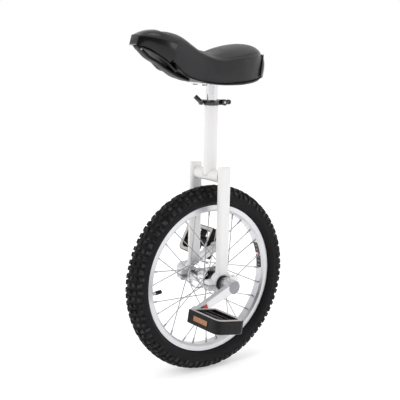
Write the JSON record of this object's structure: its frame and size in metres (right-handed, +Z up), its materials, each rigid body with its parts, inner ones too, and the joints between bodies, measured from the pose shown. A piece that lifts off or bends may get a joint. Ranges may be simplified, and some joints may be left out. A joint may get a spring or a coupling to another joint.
{
  "type": "unicycle",
  "caption": "Small-wheel unicycle with a straight fork, knobbly tyre, block pedals and a quick-release saddle with a front grip.",
  "frame": {"origin": "on the ground directly under the axle, centre of the tyre's contact", "axes": "+X forward towards the saddle's nose, +Y the rider's left along the axle, +Z up"},
  "size_m": [0.403, 0.41, 0.7227],
  "materials": {
    "frame_paint": "gloss white powder coat",
    "cast_silver": "bright satin",
    "bright_steel": "zinc plated",
    "chrome": "polished chrome",
    "crank_cover_grey": "satin grey cap",
    "seal_rubber": "matt",
    "tyre_rubber": "matt black rubber",
    "tube_rubber": "matt",
    "black_plastic": "satin moulded black",
    "tread_grey": "matt warm grey",
    "reflector_amber": "clear amber over prisms",
    "clamp_black": "gloss black anodised",
    "bumper_gloss": "high gloss black",
    "saddle_vinyl": "soft satin black vinyl",
    "foam": "moulded foam"
  },
  "bodies": {
    "frame": {"crown_tube": "frame_paint", "seat_tube": "frame_paint", "fork_leg_left": "frame_paint", "fork_leg_right": "frame_paint", "bearing_housing_left": "frame_paint", "bearing_housing_right": "frame_paint", "bearing_cap_left": "cast_silver", "bearing_cap_right": "cast_silver", "leg_caps": "frame_paint", "holder_washers": "bright_steel", "holder_bolts": "bright_steel", "bearing_outer_races": "bright_steel", "bearing_shields": "seal_rubber"},
    "wheel": {"bearing_inner_races": "bright_steel", "bearing_balls": "bright_steel", "hub_axle": "bright_steel", "hub_shell": "chrome", "bearing_spacers": "bright_steel", "spokes_left": "bright_steel", "spokes_right": "bright_steel", "spoke_nipples": "bright_steel", "rim": "cast_silver", "rim_tape": "seal_rubber", "tyre": "tyre_rubber", "inner_tube": "tube_rubber", "valve_stem": "bright_steel", "valve_cap": "black_plastic", "crank_left": "cast_silver", "crank_right": "cast_silver", "crank_covers": "crank_cover_grey", "crank_bolts": "bright_steel", "pedal_spindle_left": "bright_steel", "pedal_spindle_right": "bright_steel", "pedal_nuts": "bright_steel"},
    "pedal_left": {"pedal_body_left": "black_plastic", "pedal_treads_left": "tread_grey", "pedal_reflectors_left": "reflector_amber", "pedal_balls_left": "bright_steel", "pedal_end_cap_left": "black_plastic"},
    "pedal_right": {"pedal_body_right": "black_plastic", "pedal_treads_right": "tread_grey", "pedal_reflectors_right": "reflector_amber", "pedal_balls_right": "bright_steel", "pedal_end_cap_right": "black_plastic"},
    "collar": {"seat_collar": "clamp_black", "clamp_skewer": "bright_steel", "clamp_nut": "clamp_black", "lever_pin": "bright_steel"},
    "lever": {"clamp_lever": "clamp_black"},
    "seat": {"seat_post": "chrome", "post_plate": "chrome", "saddle_bolts": "bright_steel", "saddle_nuts": "bright_steel", "saddle_pan": "black_plastic", "saddle_foam": "foam", "saddle_cover": "saddle_vinyl", "front_bumper": "bumper_gloss", "front_handle": "black_plastic", "rear_bumper": "bumper_gloss"}
  },
  "joints": [
    {"name": "wheel_spin", "type": "hinge", "parent": "frame", "child": "wheel", "pos_m": [0, 0, 0.2015], "axis": [0, 1, 0], "continuous": true},
    {"name": "pedal_left_spin", "type": "hinge", "parent": "wheel", "child": "pedal_left", "pos_m": [0.09444, 0.15, 0.16296], "axis": [0, 1, 0], "continuous": true},
    {"name": "pedal_right_spin", "type": "hinge", "parent": "wheel", "child": "pedal_right", "pos_m": [-0.09444, -0.15, 0.24004], "axis": [0, 1, 0], "continuous": true},
    {"name": "seat_turn", "type": "hinge", "parent": "frame", "child": "collar", "pos_m": [0, 0, 0.5773], "axis": [0, 0, 1], "continuous": true},
    {"name": "lever_swing", "type": "hinge", "parent": "collar", "child": "lever", "pos_m": [-0.0245, -0.017, 0.5773], "axis": [0, 0, -1], "range_deg": [0, 150]},
    {"name": "seat_height", "type": "slide", "parent": "collar", "child": "seat", "axis": [0, 0, 1], "range_m": [-0.01, 0.06]}
  ]
}
